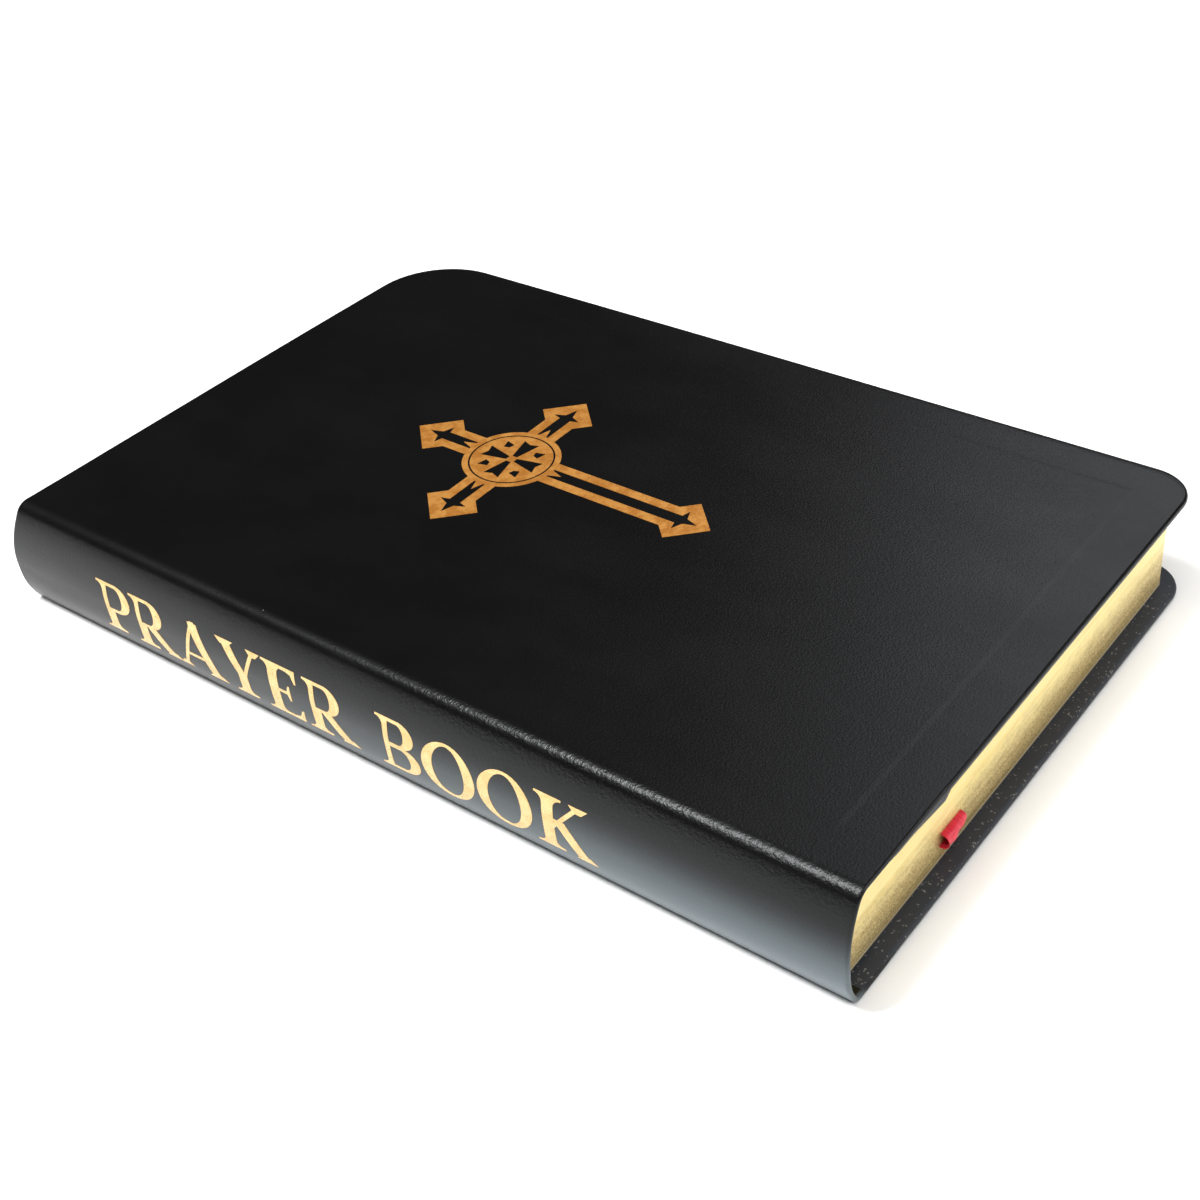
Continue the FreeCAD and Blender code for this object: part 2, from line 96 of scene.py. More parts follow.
SPINE_GAUGE = 0.95
SHOULDER_R = 3.0  # bend from the spine to the front cover
BASE_R = 2.1  # bend from the spine to the back cover
CORNER_TAIL = 8.0
CORNER_HEAD = 16.0
EDGE_ROLL = 0.6  # how far the rounded cover edges stand out
PAGE_TAIL_CORNER = 2.0
PAGE_HEAD_CORNER = 6.0
LINING_CORNER = 3.0
HEAD_FLARE = 2.1  # the head cap of the spine, beyond the covers
BACK_SLIP = 1.6  # the back cover, shifted towards the fore-edge
SEAM_ANGLE = radians(-23.0)  # where the two halves of the skin meet, low on the spine
PLEAT_START, PLEAT_END = -42.0, -32.4
PLEAT_DROP = 1.4
BASE_BULGE = 0.5
HEAD_DROOP = 0.5
SECTION_OVERLAP = (0.03, 0.02)  # below and above, so that no light shows between sections
LEAF_NAMES = ("front_flyleaf", "title_leaf", "leaf_02", "leaf_03", "leaf_04", "leaf_05")

# -------- camera


def link(item):
    """Puts an object in the scene."""
    bpy.context.scene.collection.objects.link(item)


def make_camera():
    """Seen from over the spine and the tail, looking down across the front cover."""
    heading = radians(39.9856)
    down = radians(36.985)
    roll = radians(4.926)
    place = Vector((-0.2028, -0.17124, 0.19868))
    level_part = cos(down)
    ahead = Vector((level_part * cos(heading), level_part * sin(heading), -sin(down)))
    level = ahead.cross(Vector((0, 0, 1))).normalized()
    upright = level.cross(ahead)
    right = level * cos(roll) - upright * sin(roll)
    above = right.cross(ahead)
    turn = Matrix((right, above, -ahead)).transposed().to_4x4()
    data = bpy.data.cameras.new("camera")
    data.lens = 53.089
    data.sensor_width = 36.0
    data.clip_start = 0.01
    data.clip_end = 20.0
    camera = bpy.data.objects.new("camera", data)
    camera.matrix_world = Matrix.Translation(place) @ turn
    link(camera)
    bpy.context.scene.camera = camera


# -------- mesh helpers


def add_object(name, points, faces, material, flat_angle=35.0):
    """A piece from points in millimetres; the rest place of each point is kept for its material."""
    mesh = bpy.data.meshes.new(name)
    mesh.from_pydata([tuple(p) for p in np.asarray(points, float) * MM], [], [tuple(f) for f in faces])
    mesh.validate()
    shell = bmesh.new()
    shell.from_mesh(mesh)
    bmesh.ops.recalc_face_normals(shell, faces=shell.faces)
    shell.to_mesh(mesh)
    shell.free()
    mesh.update()
    rest = mesh.attributes.new("rest", "FLOAT_VECTOR", "POINT")
    places = np.zeros(len(mesh.vertices) * 3, np.float32)
    mesh.vertices.foreach_get("co", places)
    rest.data.foreach_set("vector", places)
    mesh.materials.append(material)
    mesh.shade_smooth()
    mesh.set_sharp_from_angle(angle=radians(flat_angle))
    piece = bpy.data.objects.new(name, mesh)
    link(piece)
    return piece


def spread(low, high, count):
    """Evenly spaced values from low to high, both included."""
    return list(np.linspace(low, high, count))


def corner_rows(half, tail_radius, head_radius, inset, step):
    """Rows from tail to head as (y, how far the fore-edge is in from the square corner, edge normal)."""
    rows = []
    steps = 12
    for sign, radius in ((-1, tail_radius), (1, head_radius)):
        rounded = []
        for index in range(steps + 1):
            angle = pi / 2 * index / steps
            y = sign * (half - radius + (radius - inset) * sin(angle))
            drawn_in = radius - (radius - inset) * cos(angle)
            rounded.append((y, drawn_in, (cos(angle), sign * sin(angle))))
        rows.append(rounded)
    tail, head = rows
    tail.reverse()
    count = max(2, int((head[0][0] - tail[-1][0]) / step))
    straight = [(y, inset, (1.0, 0.0)) for y in np.linspace(tail[-1][0], head[0][0], count + 1)[1:-1]]
    return tail + straight + head


def sheet_solid(name, material, columns, rows, fore, place, gauge, roll=(0.0, 1), fold=(0.0, 1), fixed=None):
    """A closed sheet: a grid on each side, joined round its edges.

    columns are distances from the spine side, rows come from corner_rows, and place(s, y, depth) puts a
    point of the flat sheet in space. roll is how far the three cut edges bulge and in how many steps, and
    fold is the same at the spine side. Columns beyond fixed are drawn in at the rounded corners.
    """
    columns = np.array(columns, float)
    fixed = columns[0] if fixed is None else fixed
    count = len(columns)

    def flat_place(j, i):
        """Where column i of row j lies on the flat sheet."""
        s, (y, drawn_in, _) = columns[i], rows[j]
        if s > fixed:
            s = fixed + (s - fixed) * ((fore - drawn_in - fixed) / (columns[-1] - fixed))
        return s, y

    points = []
    sides = []
    for side in (0, 1):
        grid = []
        for j in range(len(rows)):
            grid.append(list(range(len(points), len(points) + count)))
            for i in range(count):
                s, y = flat_place(j, i)
                points.append(place(s, y, side * gauge(s)))
        sides.append(grid)
    top, bottom = sides
    faces = []
    for j in range(len(rows) - 1):
        for i in range(count - 1):
            faces.append((top[j][i], top[j][i + 1], top[j + 1][i + 1], top[j + 1][i]))
            faces.append((bottom[j][i], bottom[j + 1][i], bottom[j + 1][i + 1], bottom[j][i + 1]))

    def wall(path, bulge, steps):
        """Joins top to bottom along a path of (j, i, outward); returns the end outlines."""
        outlines = []
        for j, i, outward in path:
            s, y = flat_place(j, i)
            column = [top[j][i]]
            for k in range(1, steps):
                turn = pi * k / steps
                depth = gauge(s) * (1 - cos(turn)) / 2
                out = bulge * sin(turn)
                column.append(len(points))
                points.append(place(s + outward[0] * out, y + outward[1] * out, depth))
            column.append(bottom[j][i])
            outlines.append(column)
        for a, b in zip(outlines, outlines[1:]):
            for k in range(steps):
                faces.append((a[k], a[k + 1], b[k + 1], b[k]))
        return outlines[0], outlines[-1]

    last = count - 1
    cut = [(0, i, rows[0][2]) for i in range(count)]
    cut += [(j, last, rows[j][2]) for j in range(1, len(rows) - 1)]
    cut += [(len(rows) - 1, i, rows[-1][2]) for i in range(last, -1, -1)]
    spine_side = [(j, 0, (-1.0, 0.0)) for j in range(len(rows) - 1, -1, -1)]
    for path, (bulge, steps) in ((cut, roll), (spine_side, fold)):
        start, end = wall(path, bulge, steps)
        if steps > 1:
            faces += [tuple(start), tuple(reversed(end))]
    return add_object(name, points, faces, material)


def closed_shell(top, offset):
    """The top faces, the same ones turned over at an offset, and walls along the open edges."""
    rim = {}
    for face in top:
        for edge in zip(face, face[1:] + face[:1]):
            if edge[::-1] in rim:
                del rim[edge[::-1]]
            else:
                rim[edge] = True
    under = [tuple(k + offset for k in face[::-1]) for face in top]
    return top + under + [(b, a, a + offset, b + offset) for a, b in rim]


def droop(x, y):
    """How far the soft cover and the pages under it sag towards the fore-edge corner at the head."""
    across = min(max((x + 10) / (FORE + 10), 0), 1)
    along = min(max((y + 20) / (HALF + 20), 0), 1)
    return -HEAD_DROOP * (across * along) ** 2.2


# -------- materials


class Nodes:
    """Short-hand for building one node material."""

    def __init__(self, name, rest=True):
        self.material = bpy.data.materials.new(name)
        self.material.use_nodes = True
        self.tree = self.material.node_tree
        self.shader = self.tree.nodes["Principled BSDF"]
        if rest:
            self.place = self.add("ShaderNodeAttribute", attribute_name="rest").outputs["Vector"]
        else:
            self.place = self.add("ShaderNodeTexCoord").outputs["Object"]

    def add(self, kind, **settings):
        node = self.tree.nodes.new(kind)
        for key, value in settings.items():
            setattr(node, key, value)
        return node

    def wire(self, value, socket):
        if isinstance(value, bpy.types.NodeSocket):
            self.tree.links.new(value, socket)
        elif socket.type == "RGBA":
            socket.default_value = (*value, 1.0)
        else:
            socket.default_value = value

    def math(self, operation, first, second=0.0, third=0.0):
        node = self.add("ShaderNodeMath", operation=operation)
        for value, socket in zip((first, second, third), node.inputs):
            self.wire(value, socket)
        return node.outputs[0]

    def times(self, *values):
        product = values[0]
        for value in values[1:]:
            product = self.math("MULTIPLY", product, value)
        return product

    def minus(self, first, second):
        return self.math("SUBTRACT", first, second)

    def distance(self, first, second):
        return self.math("ABSOLUTE", self.minus(first, second))

    def above(self, value, limit):
        return self.math("GREATER_THAN", value, limit)

    def stretch(self, scale, place=None):
        node = self.add("ShaderNodeVectorMath", operation="MULTIPLY")
        self.wire(place or self.place, node.inputs[0])
        node.inputs[1].default_value = scale
        return node.outputs[0]

    def noise(self, scale, detail=3.0, rough=0.55, place=None):
        node = self.add("ShaderNodeTexNoise")
        self.wire(place or self.place, node.inputs["Vector"])
        for name, value in (("Scale", scale), ("Detail", detail), ("Roughness", rough)):
            node.inputs[name].default_value = value
        return node.outputs["Fac"]

    def cells(self, scale, output="Distance"):
        node = self.add("ShaderNodeTexVoronoi")
        self.wire(self.place, node.inputs["Vector"])
        node.inputs["Scale"].default_value = scale
        return node.outputs[output]

    def axes(self):
        node = self.add("ShaderNodeSeparateXYZ")
        self.wire(self.place, node.inputs[0])
        return node.outputs

    def remap(self, value, low, high, to_low=0.0, to_high=1.0):
        node = self.add("ShaderNodeMapRange", interpolation_type="SMOOTHSTEP")
        self.wire(value, node.inputs["Value"])
        for name, number in (("From Min", low), ("From Max", high), ("To Min", to_low), ("To Max", to_high)):
            self.wire(number, node.inputs[name])
        return node.outputs["Result"]

    def ramp(self, value, low, high, to_low=0.0, to_high=1.0):
        """The same, with the value in metres and its ends in millimetres."""
        return self.remap(value, low * MM, high * MM, to_low, to_high)

    def mix(self, factor, first, second):
        node = self.add("ShaderNodeMix", data_type="RGBA")
        self.wire(factor, node.inputs["Factor"])
        for value, socket in ((first, node.inputs[6]), (second, node.inputs[7])):
            self.wire(value, socket)
        return node.outputs[2]

    def bump(self, height, millimetres, strength=1.0, below=None):
        node = self.add("ShaderNodeBump")
        self.wire(height, node.inputs["Height"])
        node.inputs["Distance"].default_value = millimetres * MM
        node.inputs["Strength"].default_value = strength
        if below is not None:
            self.wire(below, node.inputs["Normal"])
        return node.outputs["Normal"]

    def finish(self, **values):
        for name, value in values.items():
            self.wire(value, self.shader.inputs[name.replace("_", " ")])
        return self.material


SPECKS_PER_METRE = 150.0
BLACK = ((0.0014, 0.0012, 0.0012), (0.0022, 0.0019, 0.0020))
TURNED_IN = (0.034, 0.037, 0.046)
# painted reflection: a pale bluish tone that stands in for the floor reflected low on the spine, towards the
# tail
SPINE_PAINTED_REFLECTION = (0.125, 0.160, 0.178)
# painted highlight: a pale bluish tone along the rounded tail edge of the lower spine
SPINE_EDGE_PAINTED_HIGHLIGHT = (0.10, 0.125, 0.135)
DUST = (0.32, 0.31, 0.29)
INNER_FACE = 1.25 * MM  # depth of the turned-in leather in a cover


def leather_places(n):
    """Where the leather is turned in, where a reflection of the floor is painted low on the spine, and where
    a highlight is painted along the spine's tail edge.
    """
    x, y, z = n.axes()
    depth = n.math("MINIMUM", z, n.minus(TOP * MM, z))
    inside = n.times(n.ramp(n.distance(depth, INNER_FACE), 0.30, 0.40, 1.0, 0.0),
                     n.above(x, (SPINE_OUT + 4.8) * MM))
    # painted reflection on the lower spine, strongest towards the tail and fading towards the head
    painted_reflection = n.times(n.ramp(z, 17, 3), n.ramp(y, 70, -90), n.ramp(x, SPINE_OUT + 3, SPINE_OUT + 2))
    # painted highlight along the spine's tail edge, low down
    edge = n.times(n.ramp(y, -89.2, -89.6), n.ramp(z, 11, 5), n.ramp(x, SPINE_OUT + 6, SPINE_OUT + 3))
    return inside, painted_reflection, edge


def leather_dust(n, inside):
    """A few specks on the outside and many more on the turned-in leather."""
    size = n.remap(n.noise(900.0, 1.0), 0.3, 0.7, 0.006, 0.03)
    speck = n.math("LESS_THAN", n.cells(SPECKS_PER_METRE), size)
    outer = n.times(speck, n.above(n.cells(SPECKS_PER_METRE, "Color"), 0.80))
    return n.math("MAXIMUM", outer, n.times(n.above(n.noise(1700.0, 1.0), 0.685), inside))


def leather_relief(n):
    """The turn-in's edge, soft wrinkles, pebbles over the shoulder towards the tail, and the grain."""
    x, y, z = n.axes()
    shoulder = n.ramp(n.distance(x, (SPINE_OUT + 3.2) * MM), 0.0, 3.4, 1.0, 0.0)
    pebbles = n.times(n.noise(1500.0, 2.0, 0.6), shoulder, n.ramp(y, 30, -30))
    nearest = n.math("MINIMUM", n.minus(FORE * MM, x), n.minus(HALF * MM, n.math("ABSOLUTE", y)))
    step = n.times(n.ramp(nearest, TURN_IN - 0.6, TURN_IN + 0.6), n.ramp(x, SPINE_OUT + 10, SPINE_OUT + 14))
    wrinkles = n.noise(340.0, 4.0, 0.6, n.stretch((1.0, 0.35, 1.0)))
    normal = n.bump(step, 0.03)
    normal = n.bump(wrinkles, 0.04, 0.7, normal)
    normal = n.bump(pebbles, 0.08, 1.0, normal)
    normal = n.bump(n.cells(2400.0), 0.02, 0.8, normal)
    return n.bump(n.noise(5200.0, 2.0), 0.02, 0.6, normal)


def leather_material():
    """Near-black smooth leather: fine grain, pebbled where it bends over the shoulders, a little dust, a
    painted reflection low on the spine and a painted highlight along its tail edge.
    """
    n = Nodes("black_leather")
    inside, painted_reflection, edge = leather_places(n)
    tone = n.mix(n.remap(n.noise(28.0, 4.0), 0.35, 0.7), *BLACK)
    tone = n.mix(inside, tone, TURNED_IN)
    # paints the floor's reflection low on the spine into the colour
    tone = n.mix(painted_reflection, tone, SPINE_PAINTED_REFLECTION)
    # paints a highlight along the spine's tail edge into the colour
    tone = n.mix(edge, tone, SPINE_EDGE_PAINTED_HIGHLIGHT)
    dust = leather_dust(n, inside)
    colour = n.mix(n.times(dust, 0.55), tone, DUST)
    smear = n.noise(60.0, 5.0, 0.6, n.stretch((1.0, 0.5, 1.0)))
    rough = n.math("ADD", n.remap(smear, 0.3, 0.7, 0.31, 0.36), n.times(dust, 0.3))
    rough = n.math("ADD", rough, n.times(inside, 0.3))
    return n.finish(Base_Color=colour, Roughness=rough, Normal=leather_relief(n), Specular_IOR_Level=0.28,
                    Specular_Tint=(0.96, 0.99, 1.0))


def gilt_material():
    """Gilded leaf edges: bright gold above, painted shade that makes them brown and grainy below, a painted
    highlight in a thin band at the bottom, and fine lines of the leaves.
    """
    n = Nodes("gilt_edge")
    z = n.axes()[2]
    leaves = n.noise(1.0, 3.0, 0.7, n.stretch((60.0, 60.0, 5200.0)))
    streaks = n.noise(1.0, 3.0, 0.6, n.stretch((25.0, 25.0, 900.0)))
    speckle = n.noise(3200.0, 2.0, 0.7)
    blotch = n.noise(420.0, 4.0, 0.6, n.stretch((1.0, 1.0, 1.6)))
    bound = n.math("ADD", z, n.times(n.minus(blotch, 0.5), 7 * MM))
    # painted shade: the gilt turns brown and grainy towards the bottom, below a blotchy line
    low = n.ramp(bound, 5, 12.5, 1.0, 0.0)
    grainy_painted_shade = n.times(low, n.remap(speckle, 0.36, 0.60, 0.35, 1.0))
    bright = n.mix(n.remap(streaks, 0.3, 0.7), (0.90, 0.71, 0.27), (0.96, 0.83, 0.40))
    # brown is the gilt's painted shaded tone
    brown = n.mix(n.remap(streaks, 0.3, 0.7), (0.30, 0.185, 0.075), (0.46, 0.31, 0.135))
    colour = n.mix(n.times(grainy_painted_shade, 0.82), bright, brown)
    # painted highlight: a thin pale band along the very bottom of the gilt
    base = n.times(n.ramp(z, 1.9, 2.4, 1.0, 0.0), n.remap(speckle, 0.3, 0.6))
    colour = n.mix(n.times(base, 0.8), colour, (0.90, 0.80, 0.58))
    colour = n.mix(n.remap(leaves, 0.62, 0.8, 0.0, 0.35), colour, (0.42, 0.29, 0.12))
    normal = n.bump(leaves, 0.03, 0.8)
    normal = n.bump(speckle, 0.02, 0.6, normal)
    return n.finish(Base_Color=colour, Metallic=0.5, Roughness=n.remap(speckle, 0.3, 0.7, 0.34, 0.5),
                    Normal=normal)


LINE_PITCH = 4.6 * MM
PRINT_ACROSS = (-40.2, 44.0)
PRINT_ALONG = (-70.2, 69.0)


def print_pattern(n):
    """Rows of unreadable printed marks in a block, as (black ink, red ink)."""
    x, y, _ = n.axes()
    line = n.math("DIVIDE", n.math("ADD", y, 71.3 * MM), LINE_PITCH)
    within = n.math("FRACT", line)
    number = n.math("FLOOR", line)
    body = n.times(n.above(within, 0.32), n.math("LESS_THAN", within, 0.72))
    seed = n.add("ShaderNodeCombineXYZ")
    n.wire(n.times(x, 900.0), seed.inputs[0])
    n.wire(n.times(number, 7.31), seed.inputs[1])
    words = n.noise(1.0, 0.0, 0.5, n.stretch((0.42, 1.0, 1.0), seed.outputs[0]))
    glyphs = n.noise(1.0, 2.0, 0.8, n.stretch((2.6, 1.0, 1.0), seed.outputs[0]))
    fine = n.noise(2600.0, 1.0)
    ink = n.times(n.above(words, 0.40), n.remap(glyphs, 0.40, 0.52), n.remap(fine, 0.35, 0.5, 0.45, 1.0),
                  body)
    for place, (low, high) in ((x, PRINT_ACROSS), (y, PRINT_ALONG)):
        ink = n.times(ink, n.ramp(place, low, low + 0.2), n.ramp(place, high, high + 0.2, 1.0, 0.0))
    random = n.add("ShaderNodeTexWhiteNoise", noise_dimensions="1D")
    n.wire(number, random.inputs["W"])
    return ink, n.above(random.outputs["Value"], 0.84)


def paper_material(name, colour, printed):
    """Cream book paper: fibres, a faint unevenness, and on printed leaves rows of unreadable marks."""
    n = Nodes(name)
    fibre = n.noise(1400.0, 3.0, 0.6, n.stretch((1.0, 0.6, 1.0)))
    cloud = n.noise(35.0, 3.0)
    darker = tuple(value * 0.93 for value in colour)
    tone = n.mix(n.remap(cloud, 0.3, 0.7), darker, colour)
    tone = n.mix(n.remap(fibre, 0.6, 0.8, 0.0, 0.25), tone, tuple(value * 0.8 for value in colour))
    if printed:
        ink, rubric = print_pattern(n)
        ink_colour = n.mix(rubric, (0.03, 0.028, 0.03), (0.42, 0.03, 0.03))
        tone = n.mix(n.times(ink, 0.85), tone, ink_colour)
    return n.finish(Base_Color=tone, Roughness=0.72, Normal=n.bump(fibre, 0.02, 0.7),
                    Specular_IOR_Level=0.25)


def foil_material(name, light, dark, spots):
    """Blocked gold foil: follows the leather's grain, with thin and worn places."""
    n = Nodes(name)
    patch = n.noise(420.0, 3.0, 0.6)
    grain = n.cells(1500.0)
    fine = n.noise(3000.0, 2.0)
    colour = n.mix(n.remap(patch, 0.35, 0.65), dark, light)
    worn = n.times(n.remap(fine, 0.60, 0.72), spots)
    colour = n.mix(worn, colour, (0.10, 0.06, 0.025))
    normal = n.bump(patch, 0.08, 0.8)
    normal = n.bump(grain, 0.06, 0.8, normal)
    return n.finish(Base_Color=colour, Metallic=0.45, Roughness=n.remap(fine, 0.3, 0.7, 0.26, 0.40),
                    Normal=normal)


def ribbon_material():
    """Red satin: long shiny warp threads with a fine weft."""
    n = Nodes("red_satin")
    warp = n.noise(1.0, 2.0, 0.6, n.stretch((6500.0, 250.0, 250.0)))
    weft = n.noise(1.0, 1.0, 0.5, n.stretch((300.0, 5200.0, 5200.0)))
    colour = n.mix(n.remap(warp, 0.3, 0.7), (0.62, 0.012, 0.035), (0.88, 0.035, 0.075))
    normal = n.bump(warp, 0.03, 0.8)
    normal = n.bump(weft, 0.02, 0.6, normal)
    return n.finish(Base_Color=colour, Roughness=n.remap(weft, 0.3, 0.7, 0.34, 0.5), Normal=normal,
                    Sheen_Weight=0.06, Anisotropic=0.4, Specular_IOR_Level=0.45)


def woven_material(name, first, second, scale):
    """Open cloth or thread, as crossing ridges in two tones."""
    n = Nodes(name, rest=False)
    across = n.noise(1.0, 1.0, 0.5, n.stretch((scale, scale * 0.1, scale)))
    along = n.noise(1.0, 1.0, 0.5, n.stretch((scale * 0.1, scale, scale * 0.1)))
    weave = n.times(n.remap(across, 0.4, 0.6), n.remap(along, 0.4, 0.6))
    return n.finish(Base_Color=n.mix(weave, first, second), Roughness=0.8,
                    Normal=n.bump(weave, 0.1, 0.8))


def card_material(name, colour, rest=False):
    """Grey or brown board with flecks of fibre."""
    n = Nodes(name, rest)
    fleck = n.noise(1800.0, 3.0, 0.7)
    cloud = n.noise(120.0, 2.0)
    tone = n.mix(n.remap(cloud, 0.3, 0.7), tuple(value * 0.85 for value in colour), colour)
    tone = n.mix(n.remap(fleck, 0.62, 0.72, 0.0, 0.6), tone, tuple(value * 0.45 for value in colour))
    return n.finish(Base_Color=tone, Roughness=0.85, Normal=n.bump(fleck, 0.05, 0.7))


def band_material():
    """Headband silk: black and gold stripes wound round a core."""
    n = Nodes("band_silk")
    stripe = n.math("FRACT", n.times(n.axes()[2], 520.0))
    gold = n.remap(n.distance(stripe, 0.5), 0.20, 0.26)
    thread = n.noise(1.0, 1.0, 0.5, n.stretch((300.0, 300.0, 6000.0)))
    colour = n.mix(gold, (0.02, 0.02, 0.022), (0.62, 0.44, 0.16))
    return n.finish(Base_Color=colour, Roughness=0.5, Normal=n.bump(thread, 0.06, 0.9), Sheen_Weight=0.2)


def floor_material():
    """A pale, matt, plain floor."""
    n = Nodes("pale_floor", rest=False)
    cloud = n.noise(3.0, 2.0)
    return n.finish(Base_Color=n.mix(cloud, (0.93, 0.93, 0.93), (0.95, 0.95, 0.95)), Roughness=0.9,
                    Specular_IOR_Level=0.1)


LEATHER = leather_material()
GILT = gilt_material()
PRINTED = paper_material("printed_paper", (0.47, 0.42, 0.325), True)
ENDPAPER = paper_material("cream_endpaper", (0.49, 0.44, 0.345), False)
CROSS_FOIL = foil_material("cover_foil", (0.60, 0.275, 0.062), (0.45, 0.175, 0.030), 0.10)
TITLE_FOIL = foil_material("title_foil", (0.80, 0.56, 0.25), (0.70, 0.46, 0.18), 0.12)
SATIN = ribbon_material()
BAND_SILK = band_material()

# -------- the leather skin


def arc_point(x, z, radius, angle):
    """Point of an arc and its angle, which is 0 towards -X and a quarter turn towards +Z."""
    return x - radius * cos(angle), z + radius * sin(angle), angle


def outer_profile(s):
    """Point and outward angle of the skin's outside at a distance from the low seam, for the front half.

    The skin runs up the spine, over the shoulder and along the cover.
    """
    if s <= SPINE_ARC:
        return arc_point(AXIS_X, MID_Z, SPINE_R, SEAM_ANGLE + s / SPINE_R)
    bent = s - SPINE_ARC
    if bent <= SHOULDER_ARC:
        return arc_point(SHOULDER_X, SHOULDER_Z, SHOULDER_R, SHOULDER_ANGLE + bent / SHOULDER_R)
    return SHOULDER_X + (bent - SHOULDER_ARC), TOP, pi / 2


SHOULDER_Z = TOP - SHOULDER_R
SHOULDER_X = AXIS_X - sqrt((SPINE_R - SHOULDER_R) ** 2 - (SHOULDER_Z - MID_Z) ** 2)
SHOULDER_ANGLE = atan2(SHOULDER_Z - MID_Z, AXIS_X - SHOULDER_X)
SPINE_ARC = SPINE_R * (SHOULDER_ANGLE - SEAM_ANGLE)
SHOULDER_ARC = SHOULDER_R * (pi / 2 - SHOULDER_ANGLE)
COVER_START = SPINE_ARC + SHOULDER_ARC - SHOULDER_X
FRONT_LENGTH = COVER_START + FORE

BASE_X = AXIS_X - sqrt((SPINE_R - BASE_R) ** 2 - (BASE_R - MID_Z) ** 2)
BASE_ANGLE = -atan2(MID_Z - BASE_R, AXIS_X - BASE_X)
BASE_ARC = SPINE_R * (SEAM_ANGLE - BASE_ANGLE)
BASE_TURN = BASE_R * (pi / 2 + BASE_ANGLE)
BACK_START = BASE_ARC + BASE_TURN - BASE_X
BACK_LENGTH = BACK_START + FORE + BACK_SLIP


def under_profile(s):
    """The same for the back half: from the seam down round the low shoulder and along the back cover."""
    if s <= BASE_ARC:
        return arc_point(AXIS_X, MID_Z, SPINE_R, SEAM_ANGLE - s / SPINE_R)
    bent = s - BASE_ARC
    if bent <= BASE_TURN:
        return arc_point(BASE_X, BASE_R, BASE_R, BASE_ANGLE - bent / BASE_R)
    return BASE_X + (bent - BASE_TURN), 0.0, -pi / 2


def smooth(value, low, high):
    """0 up to low, 1 from high on, and an S-curve between them."""
    t = min(max((value - low) / (high - low), 0.0), 1.0)
    return t * t * (3 - 2 * t)


def skin_gauge(start):
    """Thin leather at the spine and the joint, and the whole cover's thickness over the board."""
    def gauge(s):
        return SPINE_GAUGE + (GAUGE - 0.04 - SPINE_GAUGE) * smooth(s - start, BOARD_LEFT - 4, BOARD_LEFT)
    return gauge


def head_flare(y, fade):
    """The leather cap at the head of the spine stands a little out beyond the covers."""
    return HEAD_FLARE * smooth(y, HALF - 40, HALF) * (1 - fade)


def bulge(x, z):
    """The lower part of the spine stands a little fuller than a plain arc."""
    return BASE_BULGE * smooth(-z, -10, -3) * (1 - smooth(x, SPINE_OUT + 3, SPINE_OUT + 9))


def pleat(x, y):
    """A pleat in the turn-in hangs a little below the front cover's tail edge, next to the ribbon."""
    if not PLEAT_START < x < PLEAT_END:
        return 0.0
    return PLEAT_DROP * (x - PLEAT_START) / (PLEAT_END - PLEAT_START) * smooth(-y, HALF - 1.6, HALF - 0.4)


def front_place(s, y, depth):
    """A point of the skin's front half, at a depth below its outside."""
    x, z, angle = outer_profile(s)
    x += cos(angle) * depth
    z -= sin(angle) * depth + pleat(x, y) * depth / GAUGE
    along = y + head_flare(y, smooth(s, SPINE_ARC * 0.3, COVER_START + SPINE_OUT + 6))
    return x - bulge(x, z), along, z + droop(x, y)


def back_place(s, y, depth):
    """The same for the back half."""
    x, z, angle = under_profile(s)
    along = y + head_flare(y, smooth(s, BASE_ARC, BACK_START + SPINE_OUT + 40))
    x += cos(angle) * depth
    z -= sin(angle) * depth
    return x - bulge(x, z), along, z


def skin_columns(arc, turn, length):
    """Columns close together on the spine and its shoulder, and wider apart on the cover."""
    spine = spread(0, arc, max(3, int(arc / 0.4)))
    bend = spread(arc, arc + turn, 12)[1:]
    flat = spread(arc + turn, length - EDGE_ROLL, 84)[1:]
    return spine + bend + flat


def make_skins():
    """The leather in two halves, which meet low on the spine."""
    roll = (EDGE_ROLL, 7)
    rows = corner_rows(HALF, CORNER_TAIL, CORNER_HEAD, roll[0], 2.0)
    front = sheet_solid("front_leather", LEATHER, skin_columns(SPINE_ARC, SHOULDER_ARC, FRONT_LENGTH), rows,
                        FRONT_LENGTH, front_place, skin_gauge(COVER_START), roll, fixed=COVER_START)
    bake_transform(front)
    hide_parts("front_cover_leather", "spine_leather")
    back = sheet_solid("back_leather", LEATHER, skin_columns(BASE_ARC, BASE_TURN, BACK_LENGTH), rows,
                       BACK_LENGTH, back_place, skin_gauge(BACK_START), roll, fixed=BACK_START)
    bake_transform(back)
    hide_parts("back_cover_leather")


